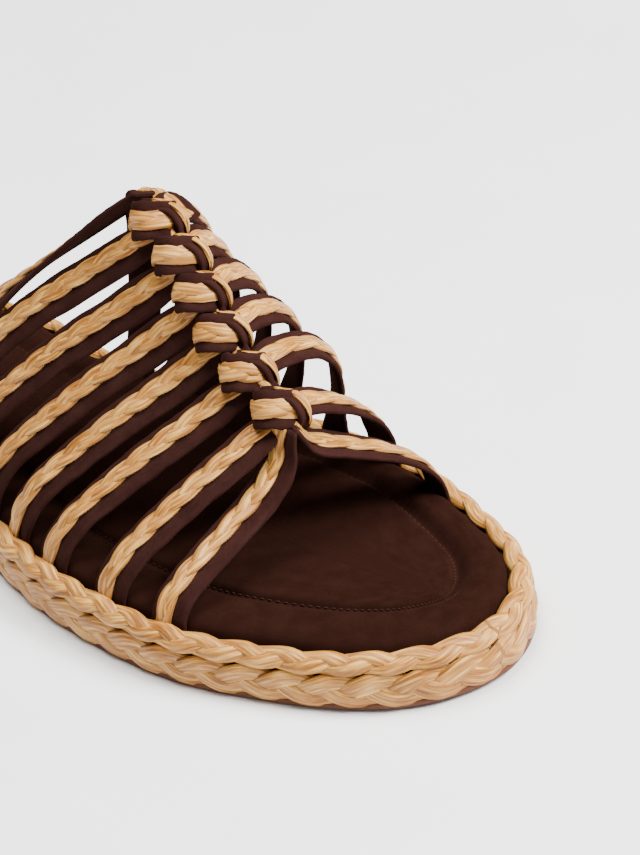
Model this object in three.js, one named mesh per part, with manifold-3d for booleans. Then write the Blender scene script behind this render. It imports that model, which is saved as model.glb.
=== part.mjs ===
// A woman's flat slide sandal, right foot: a thin outsole, a midsole wrapped in two stacked raffia
// braids, a padded insole with a rolled rim, and an upper of sixteen straps knotted over the instep.
// Millimetres, +Z up. The toe points along -Y, the inner (medial) side of the foot is +X, and the
// origin is on the floor under the middle of the sandal.
import * as THREE from 'three';
import { mergeVertices } from 'three/addons/utils/BufferGeometryUtils.js';
import Module from 'manifold-3d';

// Sole
const SOLE_LENGTH = 258;
const BALL_WIDTH = 97;
const TOE_SPRING = 1.5;
const TOE_SPRING_START = 0.25;      // share of the length, from the toe, where the sole leaves the floor
const OUTSOLE_THICKNESS = 1.9;
const OUTSOLE_INSET = 0.9;          // how far the outsole stays inside the braids
const MIDSOLE_HEIGHT = 11.9;        // from the midsole's underside to the top of its lip
const LOWER_BRAID_HEIGHT = 8.4;
const LIP_WIDTH = 6.1;              // the raffia shoulder beside the insole, in plan
const RECESS_DEPTH = 5.6;           // how deep the insole sits in the midsole
const LOBE_RISE = 0.8;
const LOBE_PITCH = 11.4;

// Insole
const INSOLE_THICKNESS = 7.6;
const RIM_MARGIN = 13;              // insole edge to the stitched line
const RIM_MARGIN_SIDE = 2.6;        // wider on the outer side of the foot, narrower on the inner side
const RIM_MARGIN_TOE = 2;
const GROOVE_DEPTH = 1.7;
const PANEL_CROWN = 1.1;            // middle of the panel above the floor of the groove
const PANEL_SHOULDER = 1.4;         // from the stitched line in to the panel's padded edge
const PANEL_SHOULDER_RISE = 0.9;
const PANEL_FLAT = 0.86;            // the flat of the panel as a share of the padded panel

// Straps
const STRAP_WIDTH = 11;
const STRAP_THICKNESS = 1.5;
const RAFFIA_WIDTH = 5.8;
const RAFFIA_RISE = 1.5;
const RAFFIA_SLOPE = 0.7;           // how far the sides of the raffia strip lean in
const CRESCENT_WIDTH = 8.4;
const INSTEP_RISE = 74.6;           // rearmost knot above the rim of the sole
const STRAP_TUCK = 4.4;             // how far a strap's end goes down beside the insole
const STRAP_SINK = 1.3;             // how far a strap's inner face lies inside the insole edge
const KNOT_WIDTH = 15;
const KNOT_HEIGHT = 8;

// Fits
const GAP = 0.3;

// The outline of the sole: share of its length from the toe, and the outer (lateral) and inner
// (medial) edges as shares of the ball width.
const OUTLINE = [
  { along: 0.000, lateral: 0.098, medial: 0.098 },
  { along: 0.012, lateral: -0.043, medial: 0.215 },
  { along: 0.040, lateral: -0.157, medial: 0.314 },
  { along: 0.090, lateral: -0.268, medial: 0.401 },
  { along: 0.160, lateral: -0.367, medial: 0.455 },
  { along: 0.250, lateral: -0.462, medial: 0.501 },
  { along: 0.340, lateral: -0.500, medial: 0.494 },
  { along: 0.450, lateral: -0.506, medial: 0.458 },
  { along: 0.580, lateral: -0.457, medial: 0.374 },
  { along: 0.720, lateral: -0.401, medial: 0.323 },
  { along: 0.840, lateral: -0.361, medial: 0.330 },
  { along: 0.930, lateral: -0.299, medial: 0.278 },
  { along: 0.980, lateral: -0.165, medial: 0.155 },
  { along: 1.000, lateral: 0.000, medial: 0.000 },
];

// The knots along the instep, from the back: share of the length from the toe, of the ball width
// towards the inner side, and of the instep rise. The first row is where the rearmost straps meet.
const KNOTS = [
  { along: 0.4903, across: 0.155, rise: 1.039 },
  { along: 0.4609, across: 0.134, rise: 1.000 },
  { along: 0.4264, across: 0.124, rise: 0.909 },
  { along: 0.3977, across: 0.113, rise: 0.803 },
  { along: 0.3686, across: 0.103, rise: 0.686 },
  { along: 0.3310, across: 0.093, rise: 0.582 },
  { along: 0.2818, across: 0.082, rise: 0.509 },
];

// The straps from the back: the knot each one starts at, how far ahead of it (share of the strap's
// width), where its outer and inner legs go down into the sole (shares of the length from the toe),
// how far the outer leg bulges up and how far the inner one flares out.
const STRAPS = [
  { knot: 0, ahead: 0.00, lateral: 0.760, lateralBulge: 0.10, medial: 0.6160, medialFlare: 1.18 },
  { knot: 1, ahead: 0.00, lateral: 0.705, lateralBulge: 0.07, medial: 0.5700, medialFlare: 1.16 },
  { knot: 2, ahead: 0.00, lateral: 0.647, lateralBulge: 0.03, medial: 0.5233, medialFlare: 1.10 },
  { knot: 3, ahead: 0.00, lateral: 0.580, lateralBulge: 0.00, medial: 0.4750, medialFlare: 1.03 },
  { knot: 4, ahead: 0.00, lateral: 0.512, lateralBulge: 0.00, medial: 0.4225, medialFlare: 1.00 },
  { knot: 5, ahead: 0.00, lateral: 0.442, lateralBulge: 0.00, medial: 0.3643, medialFlare: 1.00 },
  { knot: 6, ahead: 0.00, lateral: 0.351, lateralBulge: 0.00, medial: 0.3023, medialFlare: 1.00 },
  { knot: 6, ahead: 0.45, lateral: 0.271, lateralBulge: 0.00, medial: 0.2229, medialFlare: 1.00 },
];

// The shapes of the legs, from knot to sole: shares of the way out, of the way along the foot, and
// of the knot's height above the rim.
const LATERAL_LEG = [
  { out: 0.00, along: 0.00, rise: 0.97 },
  { out: 0.10, along: 0.10, rise: 0.90 },
  { out: 0.30, along: 0.30, rise: 0.76 },
  { out: 0.50, along: 0.50, rise: 0.61 },
  { out: 0.70, along: 0.70, rise: 0.44 },
  { out: 0.87, along: 0.87, rise: 0.27 },
  { out: 0.96, along: 0.96, rise: 0.13 },
  { out: 1.00, along: 1.00, rise: 0.00 },
];
const MEDIAL_LEG = [
  { out: 0.00, along: 0.00, rise: 0.97 },
  { out: 0.25, along: 0.08, rise: 1.00 },
  { out: 0.50, along: 0.18, rise: 0.96 },
  { out: 0.72, along: 0.29, rise: 0.88 },
  { out: 0.90, along: 0.42, rise: 0.74 },
  { out: 0.98, along: 0.55, rise: 0.58 },
  { out: 1.01, along: 0.70, rise: 0.38 },
  { out: 1.01, along: 0.86, rise: 0.18 },
  { out: 1.00, along: 1.00, rise: 0.00 },
];
const FRONT_LATERAL_LEG = [
  { out: 0.00, along: 0.00, rise: 1.00 },
  { out: 0.07, along: 0.07, rise: 0.75 },
  { out: 0.25, along: 0.25, rise: 0.545 },
  { out: 0.50, along: 0.50, rise: 0.40 },
  { out: 0.70, along: 0.70, rise: 0.295 },
  { out: 0.87, along: 0.87, rise: 0.195 },
  { out: 0.96, along: 0.96, rise: 0.11 },
  { out: 1.00, along: 1.00, rise: 0.00 },
];
const FRONT_MEDIAL_LEG = [
  { out: 0.00, along: 0.00, rise: 1.00 },
  { out: 0.10, along: 0.10, rise: 0.82 },
  { out: 0.30, along: 0.30, rise: 0.70 },
  { out: 0.50, along: 0.50, rise: 0.59 },
  { out: 0.70, along: 0.70, rise: 0.47 },
  { out: 0.87, along: 0.87, rise: 0.325 },
  { out: 0.97, along: 0.97, rise: 0.165 },
  { out: 1.00, along: 1.00, rise: 0.00 },
];

// The band that wraps each knot, seen along the ridge: shares of the knot's width towards the outer
// side, and of its height.
const WRAP = [
  { across: -0.52, up: -0.25 },
  { across: -0.42, up: 0.25 },
  { across: -0.18, up: 0.46 },
  { across: 0.18, up: 0.46 },
  { across: 0.42, up: 0.25 },
  { across: 0.52, up: -0.20 },
  { across: 0.38, up: -0.58 },
];
// The crescent over each knot's inner end: shares of the knot's width across, of the strap's width
// along the ridge, and of the knot's height.
const CRESCENT = [
  { across: 0.08, along: 0.50, up: 0.35 },
  { across: -0.24, along: 0.46, up: 0.62 },
  { across: -0.47, along: 0.18, up: 0.66 },
  { across: -0.56, along: -0.23, up: 0.42 },
  { across: -0.48, along: -0.60, up: 0.05 },
];
const CRESCENT_ROOT = 0.4;          // share of the way down from the knot behind
const CRESCENT_HUB = { across: 0.1, along: -0.1, up: -0.9 };
const WRAP_HUB = { across: 0, along: 0, up: -0.4 };
const WRAP_DIRECTION = new THREE.Vector3(-0.62, 0.78, 0);
const CORE_SHARE = 0.98;            // the bulk of a knot as a share of its width, length and height
const RIDGE_LEAN = 0.45;            // how far the knots turn to the inner side
const TWIST_END = 0.87;             // share of a leg by which it lies along the sole's edge
const LEG_LIFT = 0.9;               // how far a leg's outer face turns up, for 1 outwards

// The side of the midsole from its underside up: share of a braid's height, with the lower braid
// as 0 and the upper one as 1, the inset as a share of the lip's width, and how far the lobes
// stand out.
const MIDSOLE_ROWS = [
  { braid: 0, rise: 0.00, inset: 0.25, lobe: 0 },
  { braid: 0, rise: 0.20, inset: 0.09, lobe: 1 },
  { braid: 0, rise: 0.48, inset: 0.04, lobe: 0 },
  { braid: 0, rise: 0.78, inset: 0.09, lobe: -1 },
  { braid: 1, rise: 0.00, inset: 0.20, lobe: 0 },
  { braid: 1, rise: 0.45, inset: 0.15, lobe: 1 },
  { braid: 1, rise: 0.82, inset: 0.28, lobe: 0 },
  { braid: 1, rise: 1.00, inset: 0.54, lobe: -1 },
  { braid: 1, rise: 0.96, inset: 0.80, lobe: 0 },
  { braid: 1, rise: 0.72, inset: 1.00, lobe: 0 },
];
// The rolled rim of the insole from its underside up: shares of the rim's margin and of the
// insole's thickness.
const RIM_ROWS = [
  { inset: 0.00, rise: 0.00 },
  { inset: 0.00, rise: 0.66 },
  { inset: 0.08, rise: 0.88 },
  { inset: 0.32, rise: 1.00 },
];

// Facets
const OUTLINE_DIVISIONS = 2000;
const LEG_STEPS = 8;
const SLOT_STEPS = 4;               // the last steps of a leg, which lie in its slot
const WRAP_STEPS = 5;
const CRESCENT_STEPS = 5;
const CORE_SIDES = 6;
const CORE_RINGS = 4;

const COLOURS = { raffia: 0xc99a5e, satin: 0x3d2724, insole: 0x38221f, outsole: 0x9c6448 };

const outsoleTop = OUTSOLE_THICKNESS;
const midsoleBottom = outsoleTop + GAP;
const rimHeight = midsoleBottom + MIDSOLE_HEIGHT;    // top of the raffia lip
const recessFloor = rimHeight - RECESS_DEPTH;
const insoleBottom = recessFloor + GAP;

const wasm = await Module();
wasm.setup();

// Closed meshes and solids

// A solid from a closed skin whose faces all point out or all point in.
function solidFrom(positions, triangles) {
  const raw = new THREE.BufferGeometry();
  raw.setAttribute('position', new THREE.Float32BufferAttribute(positions, 3));
  raw.setIndex(triangles);
  const merged = mergeVertices(raw, 1e-5);
  const wound = (triVerts) => new wasm.Manifold(new wasm.Mesh({
    numProp: 3,
    vertProperties: new Float32Array(merged.attributes.position.array),
    triVerts,
  }));
  const index = new Uint32Array(merged.index.array);
  const solid = wound(index);
  return solid.volume() > 0 ? solid : wound(index.slice().reverse());
}

function geometryFrom(solid) {
  const mesh = solid.getMesh();
  const geometry = new THREE.BufferGeometry();
  geometry.setAttribute('position', new THREE.Float32BufferAttribute(mesh.vertProperties, 3));
  geometry.setIndex(Array.from(mesh.triVerts));
  geometry.computeVertexNormals();
  return geometry;
}

// Joins rings of equal length into a closed skin. The first and last rings are capped by strips
// that run from the outer to the inner side, so a cap can follow a bent sole.
function skin(rings) {
  const count = rings[0].length;
  const positions = rings.flat().flatMap((p) => [p.x, p.y, p.z]);
  const triangles = [];
  for (let r = 0; r + 1 < rings.length; r++) {
    for (let i = 0; i < count; i++) {
      const a = r * count + i;
      const b = r * count + (i + 1) % count;
      triangles.push(a, b, b + count, a, b + count, a + count);
    }
  }
  const last = (rings.length - 1) * count;
  for (let i = 0; i < count / 2; i++) {
    const left = (count - i) % count;
    const nextLeft = count - i - 1;
    if (i + 1 < count / 2 || nextLeft !== i + 1) {
      triangles.push(i, nextLeft, i + 1);
      triangles.push(last + i, last + i + 1, last + nextLeft);
    }
    if (left !== i) {
      triangles.push(i, left, nextLeft);
      triangles.push(last + i, last + nextLeft, last + left);
    }
  }
  return solidFrom(positions, triangles);
}

// The sole's outline

function lengthAt(along) {
  return (along - 0.5) * SOLE_LENGTH;
}

// The outline as a closed curve, from the toe along the inner side to the heel and back along the
// outer side.
function outlineCurve() {
  const medial = OUTLINE.map((row) => [row.medial, row.along]);
  const lateral = OUTLINE.slice(1, -1).reverse().map((row) => [row.lateral, row.along]);
  const corners = [...medial, ...lateral].map(([across, along]) =>
    new THREE.Vector3(across * BALL_WIDTH, lengthAt(along), 0));
  const curve = new THREE.CatmullRomCurve3(corners, true, 'centripetal');
  curve.arcLengthDivisions = OUTLINE_DIVISIONS;
  return curve;
}

// Points and outward normals around the sole, evenly spaced on each side.
function traceOutline(curve) {
  const lobes = 2 * Math.round(curve.getLength() / LOBE_PITCH / 2);
  const corners = curve.points.length;
  const heelDivision = Math.round(OUTLINE_DIVISIONS * (OUTLINE.length - 1) / corners);
  const heelShare = curve.getLengths()[heelDivision] / curve.getLength();
  return Array.from({ length: 2 * lobes }, (_, i) => {
    const share = i <= lobes
      ? heelShare * i / lobes
      : heelShare + (1 - heelShare) * (i - lobes) / lobes;
    const tangent = curve.getTangentAt(share);
    return { point: curve.getPointAt(share), normal: new THREE.Vector3(tangent.y, -tangent.x, 0) };
  });
}

const outline = traceOutline(outlineCurve());

function toeLift(y) {
  const along = y / SOLE_LENGTH + 0.5;
  const share = THREE.MathUtils.clamp((TOE_SPRING_START - along) / TOE_SPRING_START, 0, 1);
  return TOE_SPRING * share * share;
}

// A ring around the sole at a given inset and height, both numbers or functions of the station.
function soleRing(inset, height) {
  const insetAt = typeof inset === 'function' ? inset : () => inset;
  return outline.map((station, i) => {
    const p = station.point.clone().addScaledVector(station.normal, -insetAt(station, i));
    p.z = height + toeLift(p.y);
    return p;
  });
}

// The pieces of the sole

function outsole() {
  return skin([
    soleRing(OUTSOLE_INSET, 0),
    soleRing(OUTSOLE_INSET, outsoleTop),
  ]);
}

// The midsole's side is two braids, one above the other, and the upper one rolls over on top.
// Each braid has two columns of lobes, half a pitch apart.
function midsole() {
  const braids = [
    { start: midsoleBottom, height: LOWER_BRAID_HEIGHT },
    { start: midsoleBottom + LOWER_BRAID_HEIGHT, height: MIDSOLE_HEIGHT - LOWER_BRAID_HEIGHT },
  ];
  const rings = MIDSOLE_ROWS.map(({ braid, rise, inset, lobe }) => {
    const { start, height } = braids[braid];
    const relief = lobe * LOBE_RISE / 2;
    const lobed = (station, i) => inset * LIP_WIDTH + (i % 2 ? -relief : relief);
    return soleRing(lobed, start + rise * height);
  });
  return skin([...rings, soleRing(LIP_WIDTH, recessFloor)]);
}

function rimMargin({ normal }) {
  return RIM_MARGIN - RIM_MARGIN_SIDE * normal.x - RIM_MARGIN_TOE * normal.y;
}

// The insole: a rolled rim, a stitched groove and a padded panel inside it.
function insole() {
  const edge = LIP_WIDTH + GAP;
  const groove = insoleBottom + INSOLE_THICKNESS - GROOVE_DEPTH;
  const inner = (share, extra) => (station) => edge + share * rimMargin(station) + extra;
  const shoulder = soleRing(inner(1, PANEL_SHOULDER), groove + PANEL_SHOULDER_RISE);
  const middle = new THREE.Box3().setFromPoints(shoulder).getCenter(new THREE.Vector3());
  const flat = shoulder.map((p) => {
    const moved = middle.clone().lerp(p, PANEL_FLAT);
    return moved.setZ(groove + PANEL_CROWN + toeLift(moved.y));
  });
  return skin([
    ...RIM_ROWS.map(({ inset, rise }) => soleRing(inner(inset, 0), insoleBottom + rise * INSOLE_THICKNESS)),
    soleRing(inner(1, 0), groove),
    shoulder,
    flat,
  ]);
}

// The upper

// Where the sole's edge is on one side at a share of its length: its x, and its direction.
function edgeAt(along, side, inset) {
  const y = lengthAt(along);
  const half = outline.length / 2;
  const stations = side > 0 ? outline.slice(0, half + 1) : [...outline.slice(half), outline[0]];
  const moved = stations.map(({ point, normal }) => point.clone().addScaledVector(normal, -inset));
  for (let i = 0; i + 1 < moved.length; i++) {
    const [a, b] = [moved[i], moved[i + 1]];
    if ((a.y - y) * (b.y - y) <= 0 && a.y !== b.y) {
      const point = a.clone().lerp(b, (y - a.y) / (b.y - a.y));
      const direction = b.clone().sub(a).normalize();
      return { point, direction: direction.y < 0 ? direction.negate() : direction };
    }
  }
  throw new Error('no sole edge at ' + along);
}

function knotPoint({ along, across, rise }) {
  return new THREE.Vector3(across * BALL_WIDTH, lengthAt(along), rimHeight + rise * INSTEP_RISE);
}

const knots = KNOTS.map(knotPoint);

function ridgeDirection(index) {
  const behind = knots[Math.max(index - 1, 0)];
  const ahead = knots[Math.min(index + 1, knots.length - 1)];
  return behind.clone().sub(ahead).normalize();
}

// The sections below give places across a band and heights over its inner face. The raffia strip
// stands up along the middle of a strap.
function strapSection() {
  const half = STRAP_WIDTH / 2;
  const strip = RAFFIA_WIDTH / 2;
  const crown = STRAP_THICKNESS + RAFFIA_RISE;
  return [
    [-half, 0], [-half, STRAP_THICKNESS], [-strip, STRAP_THICKNESS], [-strip + RAFFIA_SLOPE, crown],
    [strip - RAFFIA_SLOPE, crown], [strip, STRAP_THICKNESS], [half, STRAP_THICKNESS], [half, 0],
  ];
}

// The section of a strap's slot, with the clearance around it.
function slotSection() {
  const half = STRAP_WIDTH / 2 + GAP;
  const top = STRAP_THICKNESS + RAFFIA_RISE + GAP;
  return [[-half, -GAP], [-half, top], [half, top], [half, -GAP]];
}

// The section of the bands in a knot, which run together at their edges.
function knotSection(width) {
  const half = width / 2;
  const strip = (RAFFIA_WIDTH - RAFFIA_SLOPE) / 2;
  const crown = STRAP_THICKNESS + RAFFIA_RISE;
  return [
    [-half, 0], [-half, STRAP_THICKNESS], [-strip, crown], [strip, crown], [half, STRAP_THICKNESS],
    [half, 0],
  ];
}

// Sweeps a section along a route. Each stop has a point, the way out of the shoe, and the section's
// own width direction.
function sweep(stops, section) {
  const count = section.length;
  const positions = [];
  for (const { point, out, side } of stops) {
    for (const [across, up] of section) {
      const p = point.clone().addScaledVector(side, across).addScaledVector(out, up);
      positions.push(p.x, p.y, p.z);
    }
  }
  const triangles = [];
  for (let s = 0; s + 1 < stops.length; s++) {
    for (let i = 0; i < count; i++) {
      const a = s * count + i;
      const b = s * count + (i + 1) % count;
      triangles.push(a, b + count, b, a, a + count, b + count);
    }
  }
  const last = (stops.length - 1) * count;
  for (let i = 1; i + 1 < count; i++) {
    triangles.push(0, i, i + 1);
    triangles.push(last, last + i + 1, last + i);
  }
  return solidFrom(positions, triangles);
}

// Stops along a curve. widthAt gives the wanted width direction at a share of the way, and outside
// gives a point that the strap's outer face turns away from.
function stopsAlong(curve, steps, widthAt, outside) {
  return Array.from({ length: steps + 1 }, (_, i) => {
    const share = i / steps;
    const point = curve.getPointAt(share);
    const tangent = curve.getTangentAt(share);
    const out = new THREE.Vector3().crossVectors(widthAt(share), tangent).normalize();
    if (out.dot(outside(share, point)) < 0) out.negate();
    const side = new THREE.Vector3().crossVectors(out, tangent).normalize();
    return { point, out, side };
  });
}

function legShape(index, side) {
  const front = index === STRAPS.length - 1;
  if (side > 0) return front ? FRONT_MEDIAL_LEG : MEDIAL_LEG;
  return front ? FRONT_LATERAL_LEG : LATERAL_LEG;
}

// One leg of a strap, from its knot to its end beside the insole. side is 1 for the inner leg.
function legStops(index, side) {
  const strap = STRAPS[index];
  const start = knots[strap.knot].clone()
    .addScaledVector(knotFrame(strap.knot).along, -strap.ahead * STRAP_WIDTH);
  const along = side > 0 ? strap.medial : strap.lateral;
  const foot = edgeAt(along, side, LIP_WIDTH + STRAP_SINK);
  const flare = side > 0 ? strap.medialFlare - 1 : 0;
  const bulge = side > 0 ? 0 : strap.lateralBulge;
  const floor = rimHeight + toeLift(foot.point.y);
  const points = legShape(index, side).map(({ out, along: drift, rise }) => {
    const middle = 4 * rise * (1 - rise);
    return new THREE.Vector3(
      start.x + (out + flare * middle) * (foot.point.x - start.x),
      start.y + drift * (foot.point.y - start.y),
      floor + (rise + bulge * middle) * (start.z - floor));
  });
  points.push(points.at(-1).clone().setZ(floor - STRAP_TUCK));
  const curve = new THREE.CatmullRomCurve3(points, false, 'centripetal');
  const ridge = ridgeDirection(strap.knot);
  const widthAt = (share) => ridge.clone().lerp(foot.direction, Math.min(1, share / TWIST_END));
  const outside = () => new THREE.Vector3(side, 0, LEG_LIFT);
  return stopsAlong(curve, LEG_STEPS, widthAt, outside);
}

function knotFrame(index) {
  const along = ridgeDirection(index).add(new THREE.Vector3(RIDGE_LEAN, 0, 0)).normalize();
  const across = WRAP_DIRECTION.clone().addScaledVector(along, -WRAP_DIRECTION.dot(along));
  across.normalize();
  const up = new THREE.Vector3().crossVectors(along, across).normalize();
  if (up.z < 0) up.negate();
  return { origin: knots[index], across, along, up };
}

function inKnot(frame, { across, along = 0, up }) {
  return frame.origin.clone()
    .addScaledVector(frame.across, across * KNOT_WIDTH)
    .addScaledVector(frame.along, along * STRAP_WIDTH)
    .addScaledVector(frame.up, up * KNOT_HEIGHT);
}

// The band that wraps a knot from side to side.
function wrap(index) {
  const frame = knotFrame(index);
  const points = WRAP.map((row) => inKnot(frame, row));
  const curve = new THREE.CatmullRomCurve3(points, false, 'centripetal');
  const centre = inKnot(frame, WRAP_HUB);
  const outside = (share, point) => point.clone().sub(centre);
  const stops = stopsAlong(curve, WRAP_STEPS, () => frame.along.clone(), outside);
  return sweep(stops, knotSection(STRAP_WIDTH));
}

// The turns of strap inside a knot, which show only as its bulk.
function knotCore(index) {
  const frame = knotFrame(index);
  const ball = new THREE.SphereGeometry(CORE_SHARE / 2, CORE_SIDES, CORE_RINGS);
  const axes = new THREE.Matrix4().makeBasis(
    frame.across.clone().multiplyScalar(KNOT_WIDTH),
    frame.along.clone().multiplyScalar(STRAP_WIDTH),
    frame.up.clone().multiplyScalar(KNOT_HEIGHT));
  ball.applyMatrix4(axes.setPosition(frame.origin));
  return solidFrom(Array.from(ball.attributes.position.array), Array.from(ball.index.array));
}

// The strap from the knot behind, which crosses over a knot's inner end and tucks under it.
function crescent(index) {
  const frame = knotFrame(index);
  const root = knots[index - 1].clone().lerp(knots[index], CRESCENT_ROOT);
  const points = [root, ...CRESCENT.map((row) => inKnot(frame, row))];
  const curve = new THREE.CatmullRomCurve3(points, false, 'centripetal');
  const centre = inKnot(frame, CRESCENT_HUB);
  const outside = (share, point) => point.clone().sub(centre);
  const widthAt = (share) => {
    const tangent = curve.getTangentAt(share);
    return new THREE.Vector3().crossVectors(frame.up, tangent);
  };
  const stops = stopsAlong(curve, CRESCENT_STEPS, widthAt, outside);
  return sweep(stops, knotSection(CRESCENT_WIDTH));
}

function upper() {
  const bands = [];
  for (let i = 0; i < STRAPS.length; i++) {
    for (const side of [-1, 1]) {
      bands.push(sweep(legStops(i, side), strapSection()));
    }
  }
  for (let i = 1; i < knots.length; i++) {
    bands.push(wrap(i));
    bands.push(crescent(i));
    bands.push(knotCore(i));
  }
  return bands.reduce((joined, band) => joined.add(band));
}

// The slots that the strap ends take in the midsole and the insole.
function strapSlots() {
  const slots = [];
  for (let i = 0; i < STRAPS.length; i++) {
    for (const side of [-1, 1]) {
      const stops = legStops(i, side).slice(-SLOT_STEPS - 1);
      stops.at(-1).point.z -= GAP;
      slots.push(sweep(stops, slotSection()));
    }
  }
  return slots.reduce((joined, slot) => joined.add(slot));
}

const slots = strapSlots();
const pieces = [
  { name: 'outsole', solid: outsole(), colour: COLOURS.outsole, roughness: 0.6 },
  { name: 'midsole_braids', solid: midsole().subtract(slots), colour: COLOURS.raffia, roughness: 0.75 },
  { name: 'insole', solid: insole().subtract(slots), colour: COLOURS.insole, roughness: 0.5 },
  { name: 'upper_straps', solid: upper(), colour: COLOURS.satin, roughness: 0.45 },
];

const sandal = new THREE.Group();
for (const { name, solid, colour, roughness } of pieces) {
  const material = new THREE.MeshStandardMaterial({ color: colour, roughness, metalness: 0 });
  const mesh = new THREE.Mesh(geometryFrom(solid), material);
  mesh.name = name;
  sandal.add(mesh);
}
const centre = new THREE.Box3().setFromObject(sandal).getCenter(new THREE.Vector3());
sandal.position.set(-centre.x, -centre.y, 0);
sandal.updateMatrixWorld(true);

export default sandal;
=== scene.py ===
"""A woman's flat slide sandal, right foot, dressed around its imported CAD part.

The sole's side is two plaited raffia braids, the insole is padded satin, and the upper is sixteen
legs of satin strap with a raffia plait sewn along each, knotted in a row over the instep. Metres,
+Z up; the toe points along -Y and the inner (medial) side of the foot is +X.
"""
import math

import bpy
import numpy as np
from mathutils import Matrix, Vector


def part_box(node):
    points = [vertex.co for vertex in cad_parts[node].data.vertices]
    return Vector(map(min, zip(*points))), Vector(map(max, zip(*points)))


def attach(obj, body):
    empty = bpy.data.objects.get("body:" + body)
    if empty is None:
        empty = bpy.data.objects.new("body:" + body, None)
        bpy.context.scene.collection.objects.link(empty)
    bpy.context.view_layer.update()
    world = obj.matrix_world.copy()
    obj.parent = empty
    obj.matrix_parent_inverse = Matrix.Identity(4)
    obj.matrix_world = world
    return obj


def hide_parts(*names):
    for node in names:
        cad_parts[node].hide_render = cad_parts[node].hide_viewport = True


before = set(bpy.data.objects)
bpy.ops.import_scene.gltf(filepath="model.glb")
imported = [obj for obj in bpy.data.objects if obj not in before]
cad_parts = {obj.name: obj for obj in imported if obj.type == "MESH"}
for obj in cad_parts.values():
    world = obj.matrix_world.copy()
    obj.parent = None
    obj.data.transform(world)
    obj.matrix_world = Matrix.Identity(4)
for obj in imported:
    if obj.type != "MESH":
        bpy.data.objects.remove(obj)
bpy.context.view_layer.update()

MM = 0.001

# The driving sizes, the part's own where nothing else is said
SOLE_LENGTH = 258 * MM
BALL_WIDTH = 97 * MM
TOE_SPRING = 1.5 * MM
TOE_SPRING_START = 0.25        # share of the length, from the toe, where the sole leaves the floor
OUTSOLE_THICKNESS = 1.9 * MM
OUTSOLE_INSET = 0.9 * MM
GAP = 0.3 * MM
MIDSOLE_HEIGHT = 11.9 * MM
LOWER_BRAID_HEIGHT = 8.4 * MM
LIP_WIDTH = 6.1 * MM
RECESS_DEPTH = 5.6 * MM
LOBES = 51                     # lobes along each edge of a rim braid, three to a turn of a strand
HOLE_STATION = -14.4 * MM      # how far round from the toe a hole between the rim braids lies
INSOLE_THICKNESS = 7.6 * MM
RIM_MARGIN = 13 * MM
RIM_MARGIN_SIDE = 2.6 * MM
RIM_MARGIN_TOE = 2 * MM
STRAP_WIDTH = 11 * MM
BAND_THICKNESS = 1.8 * MM      # of the padded satin, over the part's plain strap
PLAIT_WIDTH = 5.0 * MM         # of the plait's strands, inside the part's raffia strip
INSTEP_RISE = 74.6 * MM
STRAP_TUCK = 4.4 * MM
STRAP_SINK = 1.3 * MM

outsole_top = OUTSOLE_THICKNESS
midsole_bottom = outsole_top + GAP
crease_height = midsole_bottom + LOWER_BRAID_HEIGHT
rim_height = midsole_bottom + MIDSOLE_HEIGHT
recess_floor = rim_height - RECESS_DEPTH
insole_bottom = recess_floor + GAP
insole_top = insole_bottom + INSOLE_THICKNESS

# Share of the sole's length from the toe, and its outer and inner edges as shares of the ball width
OUTLINE = [
    (0.000, 0.098, 0.098), (0.012, -0.043, 0.215), (0.040, -0.157, 0.314), (0.090, -0.268, 0.401),
    (0.160, -0.367, 0.455), (0.250, -0.462, 0.501), (0.340, -0.500, 0.494), (0.450, -0.506, 0.458),
    (0.580, -0.457, 0.374), (0.720, -0.401, 0.323), (0.840, -0.361, 0.330), (0.930, -0.299, 0.278),
    (0.980, -0.165, 0.155), (1.000, 0.000, 0.000),
]
# The knots from the back: share of the length, of the ball width and of the instep rise
KNOTS = [
    (0.4903, 0.155, 1.039), (0.4609, 0.134, 1.000), (0.4264, 0.124, 0.909), (0.3977, 0.113, 0.803),
    (0.3686, 0.103, 0.686), (0.3310, 0.093, 0.582), (0.2818, 0.082, 0.509),
]
# The straps from the back, fitted closer to the photograph than the part's plain ones: knot, start
# ahead of it in strap widths, outer end, bulge of the outer leg, inner end, flare of the inner leg
STRAPS = [
    (0, 0.00, 0.760, 0.10, 0.6450, 1.80), (1, 0.00, 0.705, 0.07, 0.5980, 1.75),
    (2, 0.00, 0.647, 0.03, 0.5500, 1.34), (3, 0.00, 0.580, 0.00, 0.5030, 1.22),
    (4, 0.00, 0.512, 0.00, 0.4500, 1.10), (5, 0.00, 0.442, 0.00, 0.3770, 1.00),
    (6, 0.00, 0.351, 0.00, 0.3060, 0.95), (6, 0.45, 0.271, 0.00, 0.2229, 1.00),
]
# Shapes of the legs from knot to sole: shares of the way out, of the way along, and of the rise
OUTER_LEG = [
    (0.00, 0.00, 0.93), (0.10, 0.10, 0.85), (0.30, 0.30, 0.70), (0.50, 0.50, 0.56),
    (0.70, 0.70, 0.40), (0.87, 0.87, 0.25), (0.96, 0.96, 0.12), (1.00, 1.00, 0.00),
]
REAR_OUTER_LEG = [
    (0.00, 0.00, 1.013), (0.10, 0.10, 0.899), (0.30, 0.30, 0.698), (0.50, 0.50, 0.53),
    (0.70, 0.70, 0.365), (0.87, 0.87, 0.229), (0.96, 0.96, 0.112), (1.00, 1.00, 0.00),
]
INNER_LEG = [
    (0.00, 0.00, 0.97), (0.25, 0.08, 0.99), (0.50, 0.18, 0.945), (0.72, 0.29, 0.865),
    (0.90, 0.42, 0.73), (0.98, 0.55, 0.58), (1.01, 0.70, 0.38), (1.01, 0.86, 0.18),
    (1.00, 1.00, 0.00),
]
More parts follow.
